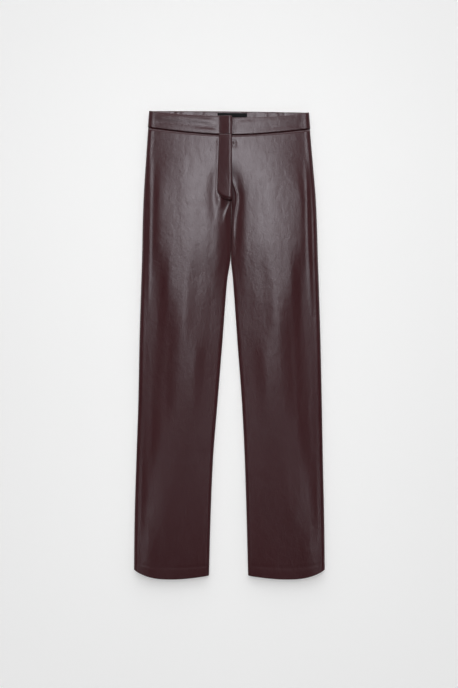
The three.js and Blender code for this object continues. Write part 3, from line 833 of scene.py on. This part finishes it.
def flyPiece():
    def place(column, row):
        return flyTop(column / fly["columns"], row / fly["rows"])

    piece = finished("flyStrip", gridMesh(fly["columns"], fly["rows"], place), [fauxLeather], ["fly"])
    thicken(piece, fly["cloth"])
    return piece


flyPiece()


# Label: blank black satin on the back band's inner face
label = dict(left=-27.0, right=40.0, top=4.0, bottom=20.0, above=0.35, cloth=0.5, columns=60, rows=16)


def labelPiece():
    def place(column, row):
        x = label["left"] + (label["right"] - label["left"]) * column / label["columns"]
        down = label["top"] + (label["bottom"] - label["top"]) * row / label["rows"]
        lift = 0.25 * np.sin(column / label["columns"] * math.pi) + label["above"] + label["cloth"]
        z = band["thickness"] + innerBandHeight(x, down) + lift
        return np.stack([x, yAt(down, x), z], axis=1)

    bm = gridMesh(label["columns"], label["rows"], place)
    piece = finished("blankLabel", bm, [labelSatin], ["waist_label"])
    thicken(piece, label["cloth"])
    return piece


labelPiece()
print("fly and label sewn on")


# Stitching
stitch = dict(length=2.5, pitch=3.4, radius=0.22, flyInset=2.2)


def stitchesAlong(name, points):  # short rounded threads laid along a line of points
    points = np.asarray(points)
    steps = np.linalg.norm(np.diff(points, axis=0), axis=1)
    reached = np.concatenate([[0], np.cumsum(steps)])
    bm = bmesh.new()
    for i in range(int(reached[-1] / stitch["pitch"])):
        ends = [i * stitch["pitch"], i * stitch["pitch"] + stitch["length"]]
        a, b = (np.array([np.interp(end, reached, points[:, k]) for k in range(3)]) for end in ends)
        made = bmesh.ops.create_uvsphere(bm, u_segments=8, v_segments=5, radius=1.0)["verts"]
        along = (b - a) / np.linalg.norm(b - a)
        side = np.cross([0, 0, 1], along)
        side /= np.linalg.norm(side)
        up = np.cross(along, side)
        for vert in made:
            local = side * vert.co.x * stitch["radius"] + up * vert.co.y * stitch["radius"] * 0.7
            vert.co = ((a + b) / 2 + local + along * vert.co.z * stitch["length"] / 2) * mm
    return finished(name, bm, [threadTwist])


def hemLine(half):
    share = np.linspace(0.1, 0.93, 200)
    down = garment["length"] - panel["hemDepth"]
    actual = bentDown(np.full(share.shape, down), 0, 0, hemLift(share))
    side = tableAt(outline, half + "Side", actual)
    inside = tableAt(outline, half + "Inside", actual)
    x = side + (inside - side) * share
    z = frontHeight(share, actual) + softHeight(x, actual) - panel["hemStitchDip"] + 0.05
    return np.stack([x, yAt(actual, x), z], axis=1)


def flyLine():
    along = np.concatenate([np.linspace(0.01, 0.985, 160), np.full(60, 0.985)])
    share = np.concatenate([np.full(160, stitch["flyInset"] / 31), np.linspace(0.07, 0.96, 60)])
    return flyTop(share, along) + np.array([0, 0, 0.06])


stitchesAlong("flyStitches", flyLine())
for half in ("right", "left"):
    stitchesAlong(half + "HemStitches", hemLine(half))
print("stitches sewn")


# Studio: a pale floor, a room that is brighter low down and beyond the waist, and softboxes overhead
studio = dict(
    floorSize=9.0,
    floorDrop=0.0004,
    floorTone=(0.7, 0.7, 0.7, 1),
    floorGlow=0.33,  # the floor is a light table, lit a little from below
    lampTone=(1.0, 1.0, 1.0),
    roomLow=2.4,
    roomHigh=0.06,
    flags=(0.3, 0.75),  # black flags stand at both sides of the room, from here to there across it
    flagged=0.25,
    beyondHems=0.1,  # the room's share of light beyond the hems and beyond the waist
    beyondWaist=1.9,
)
lamps = dict(  # where each hangs, what it points at, its width and length, its watts and its grid's angle
    main=dict(at=(0.0, 0.825, 2.1), aim=(0.0, 0.3, 0.0), size=(0.26, 0.81), power=11.4),
    skirt=dict(at=(0.0, 0.135, 2.1), aim=(0.0, 0.1, 0.0), size=(0.26, 0.57), power=2.0),
    fill=dict(at=(0.0, -2.6, 1.5), aim=(0.0, -0.3, 0.0), size=(2.4, 1.0), power=9.0),
    waistRight=dict(at=(-0.42, 1.16, 2.1), aim=(-0.14, 0.5, 0.0), size=(0.3, 0.3), power=1.6, grid=50),
    waistLeft=dict(at=(0.42, 1.16, 2.1), aim=(0.14, 0.5, 0.0), size=(0.3, 0.3), power=1.6, grid=50),
    flankRight=dict(at=(-0.42, 0.5, 2.1), aim=(-0.2, 0.25, 0.0), size=(0.26, 0.6), power=2.4, grid=40),
    flankLeft=dict(at=(0.42, 0.5, 2.1), aim=(0.2, 0.25, 0.0), size=(0.26, 0.6), power=2.4, grid=40),
    hemRight=dict(at=(-0.65, -0.75, 2.1), aim=(-0.2, -0.42, 0.0), size=(0.2, 0.7), power=2.4, grid=30),
    hemLeft=dict(at=(0.65, -0.75, 2.1), aim=(0.2, -0.42, 0.0), size=(0.2, 0.7), power=2.4, grid=30),
)


def studioFloor():
    material, add, place = newMaterial("paleFloor")
    mottle = useGroup(add, "handling", place, Size=2.0)
    tone = add("ShaderNodeMix", {"Factor": mottle.outputs["Cloud"], 6: studio["floorTone"],
                                 7: (0.71, 0.71, 0.71, 1)}, data_type="RGBA")
    shader = add("ShaderNodeBsdfPrincipled", {"Base Color": tone.outputs[2], "Roughness": 0.9,
                                              "Specular IOR Level": 0.0, "Emission Color": (1, 1, 1, 1),
                                              "Emission Strength": studio["floorGlow"]})
    add("ShaderNodeOutputMaterial", {"Surface": shader.outputs["BSDF"]})
    bm = bmesh.new()
    bmesh.ops.create_grid(bm, x_segments=1, y_segments=1, size=studio["floorSize"] / 2)
    bmesh.ops.translate(bm, verts=bm.verts[:], vec=(0, 0, -studio["floorDrop"]))
    mesh = bpy.data.meshes.new("studioFloor")
    bm.to_mesh(mesh)
    bm.free()
    mesh.materials.append(material)
    floor = bpy.data.objects.new("studioFloor", mesh)
    bpy.context.scene.collection.objects.link(floor)


def studioRoom():
    world = bpy.data.worlds.new("studioRoom")
    bpy.context.scene.world = world
    world.use_nodes = True
    world.node_tree.nodes.clear()
    add = nodesOf(world.node_tree)
    direction = add("ShaderNodeTexCoord").outputs["Generated"]
    towards = add("ShaderNodeSeparateXYZ", {"Vector": direction}).outputs
    low = add("ShaderNodeMapRange", {"Value": towards["Z"], "From Min": 0.25, "From Max": 0.8,
                                     "To Min": studio["roomLow"], "To Max": studio["roomHigh"]},
              interpolation_type="SMOOTHSTEP")
    aside = add("ShaderNodeMath", {0: towards["X"]}, operation="ABSOLUTE")
    start, end = studio["flags"]
    unflagged = add("ShaderNodeMapRange", {"Value": aside.outputs[0], "From Min": start, "From Max": end,
                                           "To Min": 1.0, "To Max": studio["flagged"]},
                    interpolation_type="SMOOTHSTEP")
    fromWaist = add("ShaderNodeMapRange", {"Value": towards["Y"], "From Min": -0.5, "From Max": 0.5,
                                           "To Min": studio["beyondHems"], "To Max": studio["beyondWaist"]},
                    interpolation_type="SMOOTHSTEP")
    sided = add("ShaderNodeMath", {0: unflagged.outputs["Result"], 1: fromWaist.outputs["Result"]},
                operation="MULTIPLY")
    strength = add("ShaderNodeMath", {0: low.outputs["Result"], 1: sided.outputs[0]}, operation="MULTIPLY")
    light = add("ShaderNodeBackground", {"Color": (1, 1, 1, 1), "Strength": strength.outputs[0]})
    add("ShaderNodeOutputWorld", {"Surface": light.outputs["Background"]})


def softbox(name, at, aim, size, power, grid=180):
    lamp = bpy.data.lights.new(name, "AREA")
    lamp.shape = "RECTANGLE"
    lamp.size, lamp.size_y = size
    half = math.radians(grid) / 2
    lamp.spread = 2 * half
    lamp.energy = power * (1 - half / math.tan(half))  # a grid swallows what it doesn't let straight through
    lamp.color = studio["lampTone"]
    lampObject = bpy.data.objects.new(name, lamp)
    bpy.context.scene.collection.objects.link(lampObject)
    lampObject.location = at
    lampObject.rotation_euler = (Vector(aim) - Vector(at)).to_track_quat("-Z", "Y").to_euler()


def camera():
    height, scale, photoRows = 2.6, 0.002284, 688  # metres above the floor, and metres for each pixel there
    data = bpy.data.cameras.new("camera")
    data.sensor_fit = "VERTICAL"
    data.sensor_height = 24.0
    data.lens = 24.0 * height / (photoRows * scale)
    data.dof.use_dof = False
    cameraObject = bpy.data.objects.new("camera", data)
    cameraObject.location = (-0.0009, 0.0024, height)
    bpy.context.scene.collection.objects.link(cameraObject)
    bpy.context.scene.camera = cameraObject


studioFloor()
studioRoom()
for name, lamp in lamps.items():
    softbox(name, **lamp)
camera()
bpy.context.scene.view_settings.view_transform = "Standard"
print("studio lit")
